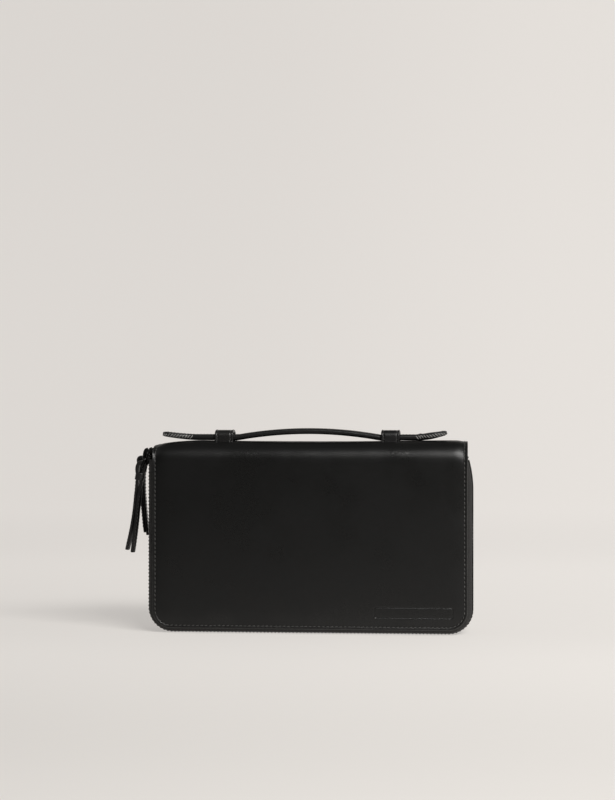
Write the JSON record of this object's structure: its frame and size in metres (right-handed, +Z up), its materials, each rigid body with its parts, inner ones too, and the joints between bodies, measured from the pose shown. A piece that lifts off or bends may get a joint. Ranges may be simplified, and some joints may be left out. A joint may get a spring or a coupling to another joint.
{
  "type": "travel document organizer",
  "caption": "Black leather travel document wallet that zips round its edge, with compartments on a shared divider and a grab handle on its spine.",
  "frame": {"origin": "on the table, in the middle of the wallet's length and depth, with the wallet standing on its closed zips", "axes": "+X along the spine, away from the zip pulls; +Y from the front cover to the back cover; +Z up, towards the handle"},
  "size_m": [0.2406, 0.04, 0.1414],
  "materials": {
    "outer_leather": "smooth black calf, soft sheen",
    "pocket_leather": "thin black leather, matt",
    "lining_cloth": "black twill lining",
    "board": "grey-brown stiffening board",
    "zip_tape": "woven black zip tape",
    "zip_metal": "blackened metal teeth",
    "slider_metal": "blackened gunmetal slider"
  },
  "bodies": {
    "spine": {"spine_leather": "outer_leather", "spine_stiffener": "board", "spine_lining": "lining_cloth", "keeper_left": "outer_leather", "keeper_right": "outer_leather", "divider_stiffener": "board", "divider_front_panel": "lining_cloth", "divider_back_panel": "lining_cloth", "front_zip_tape_divider": "zip_tape", "front_zip_teeth_divider": "zip_metal", "back_zip_tape_divider": "zip_tape", "back_zip_teeth_divider": "zip_metal", "zip_stops": "zip_metal", "note_pocket": "pocket_leather", "coin_pocket_panel": "lining_cloth", "coin_zip_tape": "zip_tape", "coin_zip_teeth": "zip_metal"},
    "front_cover": {"front_cover_leather": "outer_leather", "front_cover_stiffener": "board", "front_cover_lining": "lining_cloth", "front_zip_tape_cover": "zip_tape", "front_zip_teeth_cover": "zip_metal", "card_slot_left_1": "pocket_leather", "card_slot_left_2": "pocket_leather", "card_slot_left_3": "pocket_leather", "card_slot_left_4": "pocket_leather", "card_slot_right_1": "pocket_leather", "card_slot_right_2": "pocket_leather", "card_slot_right_3": "pocket_leather", "card_slot_right_4": "pocket_leather"},
    "back_cover": {"back_cover_leather": "outer_leather", "back_cover_stiffener": "board", "back_cover_lining": "lining_cloth", "back_zip_tape_cover": "zip_tape", "back_zip_teeth_cover": "zip_metal", "passport_pocket": "pocket_leather", "boarding_pass_pocket": "pocket_leather"},
    "front_slider": {"front_zip_slider": "slider_metal"},
    "back_slider": {"back_zip_slider": "slider_metal"},
    "front_link": {"front_puller_link": "slider_metal"},
    "back_link": {"back_puller_link": "slider_metal"},
    "front_pull": {"front_pull_strap": "outer_leather", "front_pull_binding": "outer_leather"},
    "back_pull": {"back_pull_strap": "outer_leather", "back_pull_binding": "outer_leather"},
    "handle_middle": {"handle_arch": "outer_leather"},
    "handle_left": {"handle_tail_left": "outer_leather"},
    "handle_right": {"handle_tail_right": "outer_leather"},
    "coin_slider": {"coin_zip_slider": "slider_metal"},
    "coin_pull": {"coin_pull_tab": "outer_leather"}
  },
  "joints": [
    {"name": "front_cover_open", "type": "hinge", "parent": "spine", "child": "front_cover", "pos_m": [0, -0.02, 0.1205], "axis": [-1, 0, 0], "range_deg": [0, 160], "deforming": ["front_zip_tape_cover", "front_zip_teeth_cover"]},
    {"name": "back_cover_open", "type": "hinge", "parent": "spine", "child": "back_cover", "pos_m": [0, 0.02, 0.1205], "axis": [1, 0, 0], "range_deg": [0, 160], "deforming": ["back_zip_tape_cover", "back_zip_teeth_cover"]},
    {"name": "front_slider_run", "type": "slide", "parent": "spine", "child": "front_slider", "axis": [0, 0, -1], "range_m": [0, 0.05], "deforming": ["front_zip_teeth_divider", "front_zip_tape_divider"]},
    {"name": "back_slider_run", "type": "slide", "parent": "spine", "child": "back_slider", "axis": [0, 0, -1], "range_m": [0, 0.05], "deforming": ["back_zip_teeth_divider", "back_zip_tape_divider"]},
    {"name": "front_link_swing", "type": "hinge", "parent": "front_slider", "child": "front_link", "pos_m": [-0.11475, -0.009, 0.1207], "axis": [0, 1, 0], "range_deg": [-5, 115]},
    {"name": "back_link_swing", "type": "hinge", "parent": "back_slider", "child": "back_link", "pos_m": [-0.11475, 0.009, 0.1207], "axis": [0, 1, 0], "range_deg": [0, 80]},
    {"name": "front_strap_swing", "type": "hinge", "parent": "front_link", "child": "front_pull", "pos_m": [-0.11585, -0.009, 0.11379], "axis": [0, 1, 0], "range_deg": [-3, 45]},
    {"name": "back_strap_swing", "type": "hinge", "parent": "back_link", "child": "back_pull", "pos_m": [-0.12141, 0.009, 0.11854], "axis": [0, 1, 0], "range_deg": [-1, 60]},
    {"name": "handle_lift", "type": "slide", "parent": "spine", "child": "handle_middle", "axis": [0, 0, 1], "range_m": [0, 0.02]},
    {"name": "handle_left_slide", "type": "slide", "parent": "spine", "child": "handle_left", "axis": [1, 0, 0], "range_m": [0, 0.0086]},
    {"name": "handle_right_slide", "type": "slide", "parent": "spine", "child": "handle_right", "axis": [-1, 0, 0], "range_m": [0, 0.0086]},
    {"name": "coin_slider_run", "type": "slide", "parent": "spine", "child": "coin_slider", "axis": [1, 0, 0], "range_m": [0, 0.09]},
    {"name": "coin_pull_swing", "type": "hinge", "parent": "coin_slider", "child": "coin_pull", "pos_m": [-0.048, 0.0045, 0.1], "axis": [1, 0, 0], "range_deg": [0, 80]}
  ],
  "couplings": [
    {"joint": "handle_left_slide", "follows": "handle_lift", "ratio": 0.43},
    {"joint": "handle_right_slide", "follows": "handle_lift", "ratio": 0.43}
  ]
}
